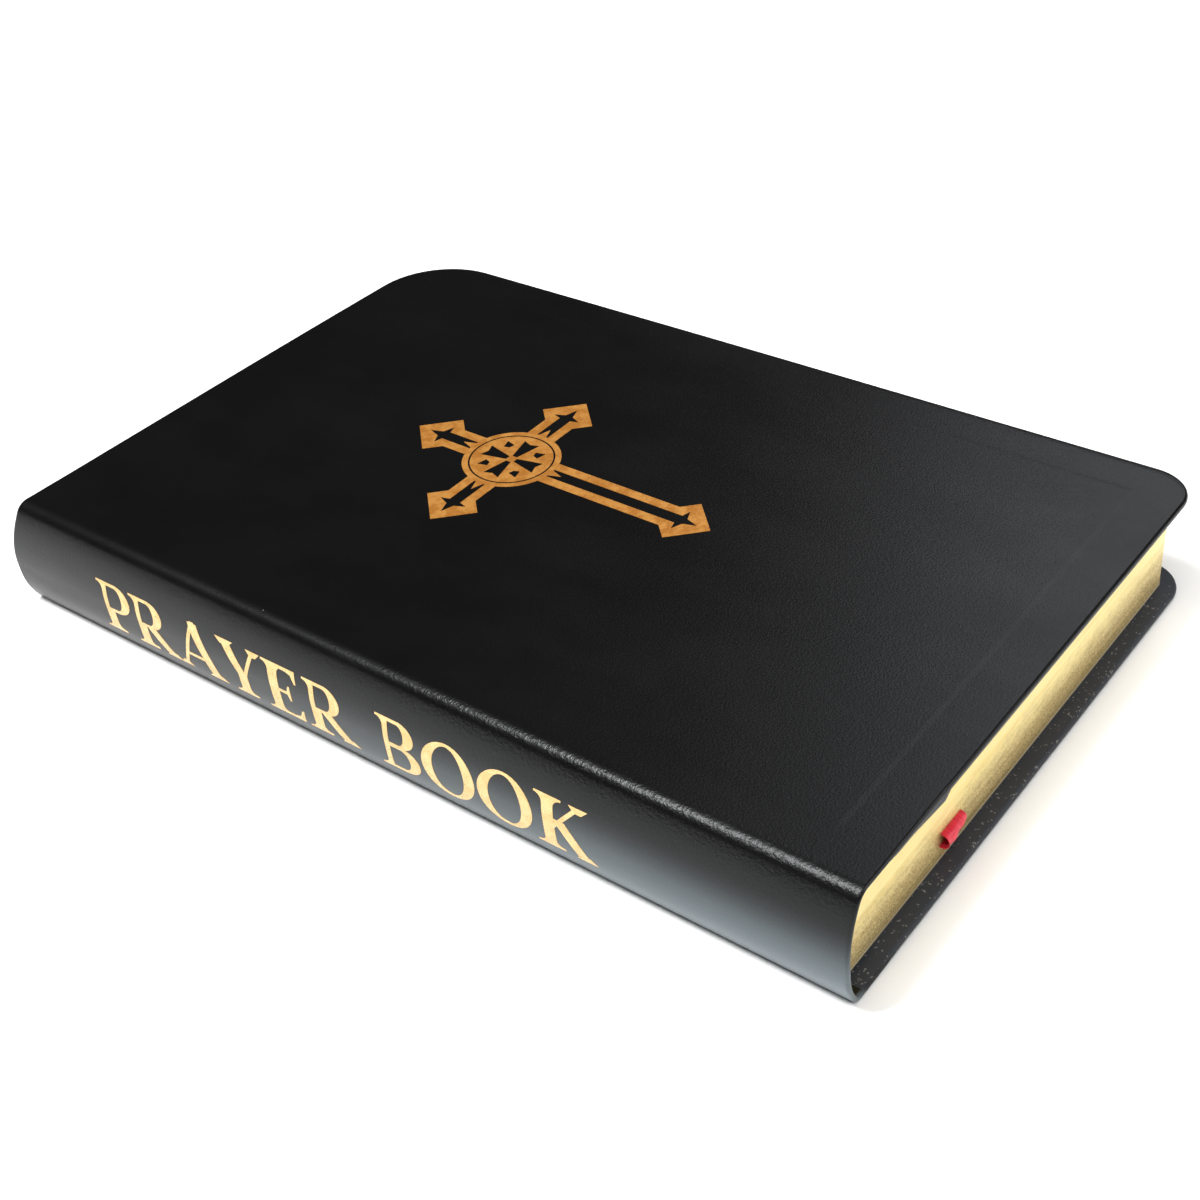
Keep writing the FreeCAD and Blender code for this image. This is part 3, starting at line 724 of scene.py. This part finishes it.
def make_cover_linings():
    """Board, infill and pastedown of each cover, which follow the cover's droop."""
    grey = card_material("grey_card", (0.42, 0.40, 0.37), rest=True)
    for side, body, place_on, start in (("front", FRONT, front_place, COVER_START),
                                        ("back", BACK, back_place, BACK_START)):
        outer = TOP if side == "front" else 0.0
        for part, material, radius, slot in (("board", grey, CORNER_TAIL - EDGE_ROLL, "grey_card"),
                                             ("infill", grey, LINING_CORNER, "grey_card"),
                                             ("pastedown", ENDPAPER, LINING_CORNER, "cream_endpaper")):
            node = f"{side}_{part}"
            low, high = node_box(node)
            near, far = sorted((abs(outer - low.z), abs(outer - high.z)))
            left = low.x
            if part == "pastedown":
                near = GAUGE - 0.05
                far = GAUGE + 0.03
                left = LEAF_LEFT - 4.2 if side == "front" else low.x + 1.5

            def place(s, y, depth, place_on=place_on, start=start, near=near, part=part):
                base = near
                if part == "pastedown":
                    base = skin_gauge(start)(s + start) - 0.01
                return place_on(s + start, y, base + depth)

            head_radius = CORNER_HEAD - EDGE_ROLL if part == "board" else radius
            rows = corner_rows(high.y, radius, head_radius, 0.0, 4.0)
            columns = spread(left, left + 8, 14) + spread(left + 8, high.x, 40)[1:]
            piece = sheet_solid(node + "_sheet", material, columns, rows, high.x, place,
                                lambda s, t=far - near: t)
            if part == "pastedown" and side == "front":
                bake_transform(piece)
            else:
                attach(piece, body)
            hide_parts(node)


# -------- the pages

SECTION_NAMES = sorted(name for name in frame["nodes"] if name.startswith("section_"))
RIBBON_Z = node_box("ribbon_marker")[0].z
ABOVE_RIBBON = next(name for name in SECTION_NAMES if node_box(name)[0].z > RIBBON_Z)
RIBBON_ROOM = 0.28


def page_lift(x, y, z):
    """Pages follow the cover's droop, less and less towards the back."""
    return droop(x, y) * smooth(z, 2.0, TOP)


def page_rows(half, step):
    """Rows of a leaf, with its own rounded corners."""
    return corner_rows(half, PAGE_TAIL_CORNER, PAGE_HEAD_CORNER, 0.0, step)


def page_place(top):
    """Puts a point of a flat leaf or section, given its depth below top, in space."""
    def place(s, y, depth):
        z = top - depth
        return s, y, z + page_lift(s, y, z)
    return place


def make_sections():
    """Each sewn section is a slab of leaves with a rounded fold, gilded where it is cut."""
    for name in SECTION_NAMES + ["first_section_fold"]:
        low, high = node_box(name)
        top, bottom = high.z, low.z
        whole = name != "first_section_fold"
        if whole:
            bottom -= SECTION_OVERLAP[0]
            top += SECTION_OVERLAP[1]
        if name == ABOVE_RIBBON:
            bottom -= RIBBON_ROOM
        radius = (top - bottom) / 2
        rows = page_rows(high.y, 3.0) if whole else corner_rows(high.y, 0.02, 0.02, 0.0, 3.0)
        columns = spread(low.x + radius, high.x, 40 if whole else 4)
        piece = sheet_solid(name + "_leaves", PRINTED, columns, rows, high.x, page_place(top),
                            lambda s, t=top - bottom: t, fold=(radius, 8))
        gild(piece)
        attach(piece, CASE)
        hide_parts(name)


def gild(piece):
    """The cut edges get the gilt material: every face that looks sideways, clear of the fold."""
    mesh = piece.data
    mesh.materials.append(GILT)
    left = min(vertex.co.x for vertex in mesh.vertices) + 0.9 * MM
    for polygon in mesh.polygons:
        if abs(polygon.normal.z) < 0.5 and (polygon.center.x > left or abs(polygon.normal.y) > 0.9):
            polygon.material_index = 1


def make_leaves():
    """The loose leaves at the front."""
    for name in LEAF_NAMES:
        low, high = node_box(name)
        material = ENDPAPER if name == "front_flyleaf" else PRINTED
        rows = page_rows(high.y, 4.0)
        left = LEAF_HINGE.x - 3.2
        columns = spread(left, left + 24, 32) + spread(left + 24, high.x, 30)[1:]
        piece = sheet_solid(name + "_paper", material, columns, rows, high.x, page_place(high.z),
                            lambda s, t=high.z - low.z: t)
        gild(piece)
        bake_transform(piece)
        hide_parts(name)
    low, high = node_box("back_flyleaf")
    rows = page_rows(high.y, 4.0)
    piece = sheet_solid("back_flyleaf_paper", ENDPAPER, spread(low.x, high.x, 30), rows, high.x,
                        page_place(high.z), lambda s: high.z - low.z)
    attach(piece, CASE)
    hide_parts("back_flyleaf")


# -------- foil


def anticlockwise(polygon):
    """The triangulation reads a clockwise polygon as its outside."""
    area = sum(a[0] * b[1] - b[0] * a[1] for a, b in zip(polygon, polygon[1:] + polygon[:1]))
    return polygon if area > 0 else polygon[::-1]


def flat_shape(add, cut, low, high, step):
    """Triangles of a flat shape: inside any polygon of add and outside all of cut, crossed by lines along u
    a step apart.
    """
    points = []
    faces = []
    for polygon in [anticlockwise(polygon) for polygon in add + cut]:
        faces.append(list(range(len(points), len(points) + len(polygon))))
        points += [Vector(p) for p in polygon]
    edges = []
    for v in np.arange(low[1], high[1] + step, step):
        edges.append((len(points), len(points) + 1))
        points += [Vector((low[0] - 1, v)), Vector((high[0] + 1, v))]
    found = delaunay_2d_cdt(points, edges, faces, 0, 1e-6)
    places, triangles, sources = found[0], found[2], found[5]
    kept = []
    for triangle, source in zip(triangles, sources):
        if any(k < len(add) for k in source) and not any(k >= len(add) for k in source):
            kept.append(tuple(triangle))
    return [tuple(p) for p in places], kept


def foil_solid(name, material, add, cut, low, high, step, place):
    """A thin closed solid over a flat shape; place(u, v, height) puts it on the leather."""
    flat, triangles = flat_shape(add, cut, low, high, step)
    used = sorted({index for triangle in triangles for index in triangle})
    where = {index: k for k, index in enumerate(used)}
    points = [place(*flat[index], 1) for index in used] + [place(*flat[index], 0) for index in used]
    top = [tuple(where[index] for index in triangle) for triangle in triangles]
    return add_object(name, points, closed_shell(top, len(used)), material, 30.0)


def circle(u, v, radius):
    """A many-sided circle about (u, v)."""
    return oval(u, v, radius, radius, count=72)


def turned(points, quarter, middle):
    """Points of an arm that lies along +u, turned by quarters about the middle."""
    result = []
    for u, v in points:
        for _ in range(quarter):
            u, v = -v, u
        result.append((middle[0] + u, middle[1] + v))
    return result


def bar(u0, u1, half):
    """A straight bar along +u, 2 * half wide."""
    return [(u0, -half), (u1, -half), (u1, half), (u0, half)]


SUNK = 0.03  # foil starts a little below the leather's surface


def cover_point(u, v, up):
    """On the front cover; up is 0 at the foil's underside and 1 on top."""
    return u, v, TOP - SUNK + (FOIL + SUNK) * up + droop(u, v)


def make_cross():
    """An outline cross with a square set cornerwise on each arm, black stars in the squares."""
    middle = ((ROUNDEL_LOW.x + ROUNDEL_HIGH.x) / 2, (ROUNDEL_LOW.y + ROUNDEL_HIGH.y) / 2)
    roundel = (ROUNDEL_HIGH.x - ROUNDEL_LOW.x) / 2
    hole = circle(*middle, roundel + 0.02)
    reaches = (CROSS_HIGH.x - middle[0], CROSS_HIGH.y - middle[1], middle[0] - CROSS_LOW.x,
               middle[1] - CROSS_LOW.y)
    diagonal = 6.0
    half = 3.25
    line = 2.0
    add = []
    cut = []
    spikes = []
    for quarter, reach in enumerate(reaches):
        end = reach - diagonal
        square = [(reach, 0), (end, diagonal), (end - diagonal, 0), (end, -diagonal)]
        add.append(turned(bar(0, end, half), quarter, middle))
        add.append(turned(square, quarter, middle))
        side = half - line
        cut.append(turned(bar(0, end - 1.2, side), quarter, middle))
        star = [(-1.3, -side), (-0.8, -side), (-0.3, -3.0), (0.6, -0.85), (3.2, 0), (0.6, 0.85), (-0.3, 3.0),
                (-0.8, side), (-1.3, side)]
        cut.append(turned([(end + u, v) for u, v in star], quarter, middle))
        spikes.append(turned([(roundel - 1, -1.2), (roundel + 2.4, 0), (roundel - 1, 1.2)], quarter, middle))
    cut.append(hole)
    low = (CROSS_LOW.x, CROSS_LOW.y)
    high = (CROSS_HIGH.x, CROSS_HIGH.y)
    piece = foil_solid("cross_foil", CROSS_FOIL, add, cut, low, high, 2.0, cover_point)
    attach(piece, FRONT)
    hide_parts("cover_cross")
    piece = foil_solid("cross_spikes", CROSS_FOIL, spikes, [hole], low, high, 2.0, cover_point)
    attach(piece, FRONT)
    make_roundel(middle, roundel)


def make_roundel(middle, radius):
    """The disc: an engraved ring, and inside it a small cross with flared arms between four lozenges."""
    add = [circle(*middle, radius)]
    cut = []
    rings = 24
    outer, inner = radius - 1.15, radius - 1.5
    for k in range(rings):
        angles = (2 * pi * k / rings, 2 * pi * (k + 1) / rings)
        arc = [(r * cos(a), r * sin(a)) for r, pair in ((outer, angles), (inner, angles[::-1]))
               for a in np.linspace(*pair, 4)]
        cut.append([(middle[0] + u, middle[1] + v) for u, v in arc])
    for quarter in range(4):
        arm = [(0.9, -0.55), (6.2, -1.75), (5.6, 0), (6.2, 1.75), (0.9, 0.55)]
        cut.append(turned(arm, quarter, middle))
        lozenge = [(2.904, 2.904), (4.048, 2.552), (4.576, 4.576), (2.552, 4.048)]
        cut.append(turned(lozenge, quarter, middle))
    low, high = ((middle[0] + side, middle[1] + side) for side in (-radius, radius))
    piece = foil_solid("roundel_disc", CROSS_FOIL, add, cut, low, high, 2.0, cover_point)
    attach(piece, FRONT)
    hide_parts("cover_roundel")


# -------- the title

# parts of the cap height
STEM = 0.185  # thick strokes
HAIR = 0.058  # thin strokes
SERIF = 0.17
WIDEN = 1.10


def slab(x, y, half, up):
    """A bracketed serif: a thin foot that curves into its stem. up is 1 at the foot, -1 at the head."""
    points = [(x - half, y), (x + half, y), (x + half, y + up * HAIR * 0.6)]
    inner = STEM / 2
    steps = 5
    for side in (1, -1):
        curve = []
        for k in range(steps + 1):
            t = k / steps
            out = inner + (half - inner) * (1 - sin(t * pi / 2))
            rise = HAIR * 0.6 + 0.13 * (1 - cos(t * pi / 2))
            curve.append((x + side * out, y + up * rise))
        points += curve if side == 1 else curve[::-1]
    return points


def thin_slab(x, y, half, up):
    """The serif of a thin or slanted stroke."""
    return [(x - half, y), (x + half, y), (x + half * 0.4, y + up * 0.10), (x - half * 0.4, y + up * 0.10)]


def stem(x, y0=0.0, y1=1.0):
    """An upright stroke."""
    return slant(x, y0, x, y1, STEM)


def slant(x0, y0, x1, y1, width):
    """A diagonal stroke, cut level at both ends; width is measured level."""
    return [(x0 - width / 2, y0), (x0 + width / 2, y0), (x1 + width / 2, y1), (x1 - width / 2, y1)]


def oval(x, y, rx, ry, start=0.0, end=360.0, count=36):
    """A whole ellipse, or an arc of it between two angles."""
    return [(x + rx * cos(radians(a)), y + ry * sin(radians(a)))
            for a in np.linspace(start, end, count + 1)[: count if end - start >= 360 else count + 1]]


def bowl(x, y0, y1, reach):
    """A half-round stroke to the right of a stem, thick at its middle, with its hole."""
    middle, half = (y0 + y1) / 2, (y1 - y0) / 2
    round_from = x + reach * 0.35
    outer = [(x, y0)] + oval(round_from, middle, reach * 0.65, half, -90, 90) + [(x, y1)]
    hole = oval(round_from, middle, reach * 0.65 - STEM * 0.98, half - HAIR, -90, 90)
    return outer, [(x, y0 + HAIR)] + hole + [(x, y1 - HAIR)]


def glyph(letter):
    """(width, polygons to add, polygons to cut) of a capital, one cap height tall."""
    left = SERIF + STEM / 2 - 0.03
    wide_serif = STEM / 2 + SERIF * 0.75
    foot = slab(left, 0, wide_serif, 1)
    head = slab(left, 1, wide_serif, -1)
    if letter == "P":
        outer, inner = bowl(left, 0.44, 1.0, 0.50)
        return 0.72, [stem(left), foot, head, outer], [inner]
    if letter == "R":
        outer, inner = bowl(left, 0.46, 1.0, 0.48)
        leg = slant(0.80, 0, 0.42, 0.50, STEM * 1.05)
        return 0.92, [stem(left), foot, head, outer, leg, thin_slab(0.80, 0, 0.17, 1)], [inner]
    if letter == "B":
        upper, upper_hole = bowl(left, 0.50, 1.0, 0.46)
        lower, lower_hole = bowl(left, 0.0, 0.535, 0.52)
        return 0.78, [stem(left), foot, head, upper, lower], [upper_hole, lower_hole]
    if letter == "E":
        low = [(left, 0), (0.72, 0), (0.75, 0.25), (0.715, 0.25), (0.64, 0.10), (0.52, HAIR), (left, HAIR)]
        high = [(left, 1), (0.68, 1), (0.70, 0.77), (0.67, 0.77), (0.60, 0.91), (0.50, 1 - HAIR),
                (left, 1 - HAIR)]
        middle = [(left, 0.49), (0.48, 0.49), (0.52, 0.37), (0.55, 0.37), (0.55, 0.67), (0.52, 0.67),
                  (0.48, 0.49 + HAIR), (left, 0.49 + HAIR)]
        return 0.80, [stem(left), foot, head, low, high, middle], []
    if letter == "A":
        thin = slant(0.14, 0, 0.46, 1.0, HAIR * 1.25)
        thick = slant(0.82, 0, 0.47, 1.0, STEM * 1.02)
        rail = [(0.24, 0.30), (0.72, 0.30), (0.72, 0.30 + HAIR), (0.24, 0.30 + HAIR)]
        apex = [(0.40, 0.94), (0.42, 1.02), (0.50, 1.02), (0.585, 0.94)]
        return 0.98, [thin, thick, rail, apex, thin_slab(0.14, 0, 0.14, 1), thin_slab(0.82, 0, 0.20, 1)], []
    if letter == "Y":
        middle = 0.45
        thick = slant(middle, 0.42, 0.15, 1.0, STEM * 1.02)
        thin = slant(middle + 0.05, 0.42, 0.74, 1.0, HAIR * 1.25)
        join = [(middle - STEM / 2, 0.40), (middle + STEM / 2, 0.40), (middle + STEM / 2, 0.47),
                (middle - STEM / 2, 0.47)]
        return 0.88, [thick, thin, join, stem(middle, 0, 0.44), slab(middle, 0, wide_serif, 1),
                      thin_slab(0.15, 1, 0.19, -1), thin_slab(0.74, 1, 0.14, -1)], []
    if letter == "O":
        return 0.96, [oval(0.48, 0.5, 0.46, 0.52)], [oval(0.48, 0.5, 0.46 - STEM, 0.52 - HAIR * 0.9)]
    arm = slant(left + 0.02, 0.40, 0.72, 1.0, HAIR * 1.4)
    leg = slant(0.80, 0, 0.40, 0.62, STEM * 1.08)
    return 0.94, [stem(left), foot, head, arm, leg, thin_slab(0.72, 1, 0.15, -1),
                  thin_slab(0.80, 0, 0.17, 1)], []


def spine_point(y, z, up):
    """On the spine's leather, wrapped round its axis."""
    radius = SPINE_R - SUNK + (FOIL + SUNK) * up
    angle = (z - MID_Z) / SPINE_R
    x, z = AXIS_X - radius * cos(angle), MID_Z + radius * sin(angle)
    return x - bulge(x, z), y, z


def make_title():
    """The generic words PRAYER BOOK, read from head to tail with their tops to the front cover."""
    base = TITLE_LOW.z + 0.15
    cap = 10.9
    words = "PRAYER BOOK"
    letters = words.replace(" ", "")
    wide = cap * WIDEN
    widths = sum(glyph(letter)[0] for letter in letters) * wide
    span = TITLE_HIGH.y - TITLE_LOW.y
    word_gap = 0.5 * cap
    gap = (span - widths - word_gap) / (len(letters) - 1)
    along = TITLE_HIGH.y
    number = 0
    for letter in words:
        if letter == " ":
            along -= word_gap
            continue
        width, add, cut = glyph(letter)
        number += 1

        def place(u, v, up, along=along):
            return spine_point(along - u, base + v, up)

        scaled = [[[(x * wide, y * cap) for x, y in polygon] for polygon in group] for group in (add, cut)]
        piece = foil_solid(f"title_letter_{number:02d}", TITLE_FOIL, *scaled, (0, 0), (width * wide, cap),
                           0.8, place)
        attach(piece, CASE)
        if number == 1:
            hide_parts("spine_title")
        along -= width * wide + gap


# -------- ribbon and bands


def make_ribbon():
    """The satin marker between two sections, and its end, which curls over at the tail."""
    low, high = node_box("ribbon_marker")
    tip_low, tip_high = node_box("ribbon_tip")
    level = (low.z + high.z) / 2
    exit_y = low.y
    gauge = 0.16
    curl = (tip_high.z - tip_low.z) / 2
    across = np.linspace(low.x, high.x, 17)
    flat = np.linspace(high.y, exit_y + 0.5, 40)
    turns = np.radians(np.linspace(88, -140, 36))
    outlines = []
    for x in across:
        tight = 1.14 - 0.36 * smooth(x, low.x + 1.2, high.x)
        path = [(y, level) for y in flat]
        drop = curl * tight
        for turn in turns:
            radius = drop * (0.86 + 0.14 * sin(turn))
            path.append((exit_y - 0.25 - radius * cos(turn), level - drop + radius * sin(turn)))
        outlines.append(np.array(path))
    points = []
    for sign in (0.5, -0.5):
        for k in range(len(flat) + len(turns)):
            for x, path in zip(across, outlines):
                before, after = path[max(k - 1, 0)], path[min(k + 1, len(path) - 1)]
                ahead = (after - before) / np.linalg.norm(after - before)
                crimp = 0.10 * sin((x - low.x) * 2.2) * smooth(k, len(flat), len(flat) + 12)
                lift = sign * gauge + crimp
                points.append((x, path[k][0] - ahead[1] * lift, path[k][1] + ahead[0] * lift))
    rows, columns = len(flat) + len(turns), len(across)
    corners = [j * columns + i for j in range(rows - 1) for i in range(columns - 1)]
    top = [(a, a + 1, a + columns + 1, a + columns) for a in corners]
    piece = add_object("ribbon_satin", points, closed_shell(top, rows * columns), SATIN, 40.0)
    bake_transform(piece)
    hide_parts("ribbon_marker", "ribbon_tip")


def make_bands():
    """Head and tail bands: a core wound with silk, bent along the back of the sections."""
    for name in ("headband", "tailband"):
        low, high = node_box(name)
        middle = (low.y + high.y) / 2
        core = (high.y - low.y) / 2
        arc = 18.1
        half_angle = asin((high.z - low.z) / 2 / arc) * 0.90
        steps, around = 220, 14
        points = []
        for j, angle in enumerate(np.linspace(-half_angle * 0.6, half_angle, steps)):
            ridge = 1 + 0.05 * cos(j * 1.7)
            for k in range(around):
                turn = 2 * pi * k / around
                radius = arc + core * 1.15 * ridge * cos(turn)
                y = middle + core * ridge * sin(turn) * 0.95
                points.append((AXIS_X - radius * cos(angle), y, MID_Z + radius * sin(angle)))
        faces = []
        for j in range(steps - 1):
            for k in range(around):
                a, b = j * around + k, j * around + (k + 1) % around
                faces.append((a, b, b + around, a + around))
        faces.append(tuple(range(around - 1, -1, -1)))
        faces.append(tuple(range((steps - 1) * around, steps * around)))
        piece = add_object(name + "_silk", points, faces, BAND_SILK, 50.0)
        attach(piece, CASE)
        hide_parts(name)


def dress_cad_nodes():
    """Materials of the CAD nodes that stay: the linings behind the spine."""
    finishes = {
        "spine_inlay": card_material("spine_card", (0.42, 0.40, 0.37)),
        "spine_lining": card_material("kraft_paper", (0.45, 0.31, 0.18)),
        "mull": woven_material("mull_cloth", (0.45, 0.43, 0.38), (0.80, 0.78, 0.70), 1800.0),
        "sewing_threads": woven_material("linen_thread", (0.60, 0.57, 0.50), (0.85, 0.82, 0.74), 2600.0),
    }
    for name, material in finishes.items():
        node = frame["nodes"][name]
        node.data.materials.clear()
        node.data.materials.append(material)


# -------- stage and light


def make_stage():
    """The floor that the book lies on."""
    size = 4.0
    corners = [(-size, -size, 0), (size, -size, 0), (size, size, 0), (-size, size, 0)]
    mesh = bpy.data.meshes.new("floor")
    mesh.from_pydata(corners, [], [(0, 1, 2, 3)])
    mesh.materials.append(floor_material())
    floor = bpy.data.objects.new("floor", mesh)
    link(floor)


def add_area(name, place, target, size, power, colour):
    """A rectangular lamp, in watts, turned to a target."""
    data = bpy.data.lights.new(name, "AREA")
    data.shape = "RECTANGLE"
    data.size, data.size_y = size
    data.energy = power
    data.color = colour
    lamp = bpy.data.objects.new(name, data)
    direction = Vector(target) - Vector(place)
    lamp.rotation_euler = direction.to_track_quat("-Z", "Y").to_euler()
    lamp.location = place
    link(lamp)


def make_world():
    """A dim room that gets paler towards the horizon."""
    world = bpy.data.worlds.new("world")
    world.use_nodes = True
    tree = world.node_tree
    sky = tree.nodes.new("ShaderNodeTexCoord")
    split = tree.nodes.new("ShaderNodeSeparateXYZ")
    ramp = tree.nodes.new("ShaderNodeMapRange")
    ramp.interpolation_type = "SMOOTHSTEP"
    for name, value in (("From Min", 0.0), ("From Max", 0.30), ("To Min", 0.08), ("To Max", 0.04)):
        ramp.inputs[name].default_value = value
    tree.links.new(sky.outputs["Generated"], split.inputs[0])
    tree.links.new(split.outputs["Z"], ramp.inputs["Value"])
    tree.links.new(ramp.outputs["Result"], tree.nodes["Background"].inputs["Strength"])
    tree.nodes["Background"].inputs["Color"].default_value = (1, 1, 1, 1)
    bpy.context.scene.world = world


def make_light():
    """A broad light from above, and panels that show in the shoulder, the spine, the cover and the gilt."""
    sun = bpy.data.lights.new("sky", "SUN")
    sun.energy = 2.1
    sun.angle = radians(42)
    lamp = bpy.data.objects.new("sky", sun)
    lamp.rotation_euler = Vector((0.28, 0.16, -1.0)).to_track_quat("-Z", "Y").to_euler()
    link(lamp)
    shoulder = (-0.055, -0.05, 0.02)
    add_area("shoulder_strip", (-0.34, 0.26, 0.98), shoulder, (0.08, 0.42), 13.0, (1.0, 1.0, 1.0))
    add_area("spine_fill", (-0.80, -0.15, 0.06), shoulder, (0.5, 0.08), 0.12, (0.70, 0.92, 1.0))
    add_area("cover_sheen", (0.85, 0.14, 0.88), (0.02, -0.09, 0.02), (0.45, 0.75), 2.5, (0.94, 0.96, 1.0))
    add_area("tail_fill", (0.45, -1.0, 0.55), (0.0, -0.09, 0.01), (0.7, 0.5), 5.0, (1.0, 0.98, 0.95))
    bpy.context.scene.view_settings.view_transform = "Standard"


make_camera()
make_skins()
make_cover_linings()
make_sections()
make_leaves()
make_cross()
make_title()
make_ribbon()
make_bands()
dress_cad_nodes()
make_stage()
make_world()
make_light()
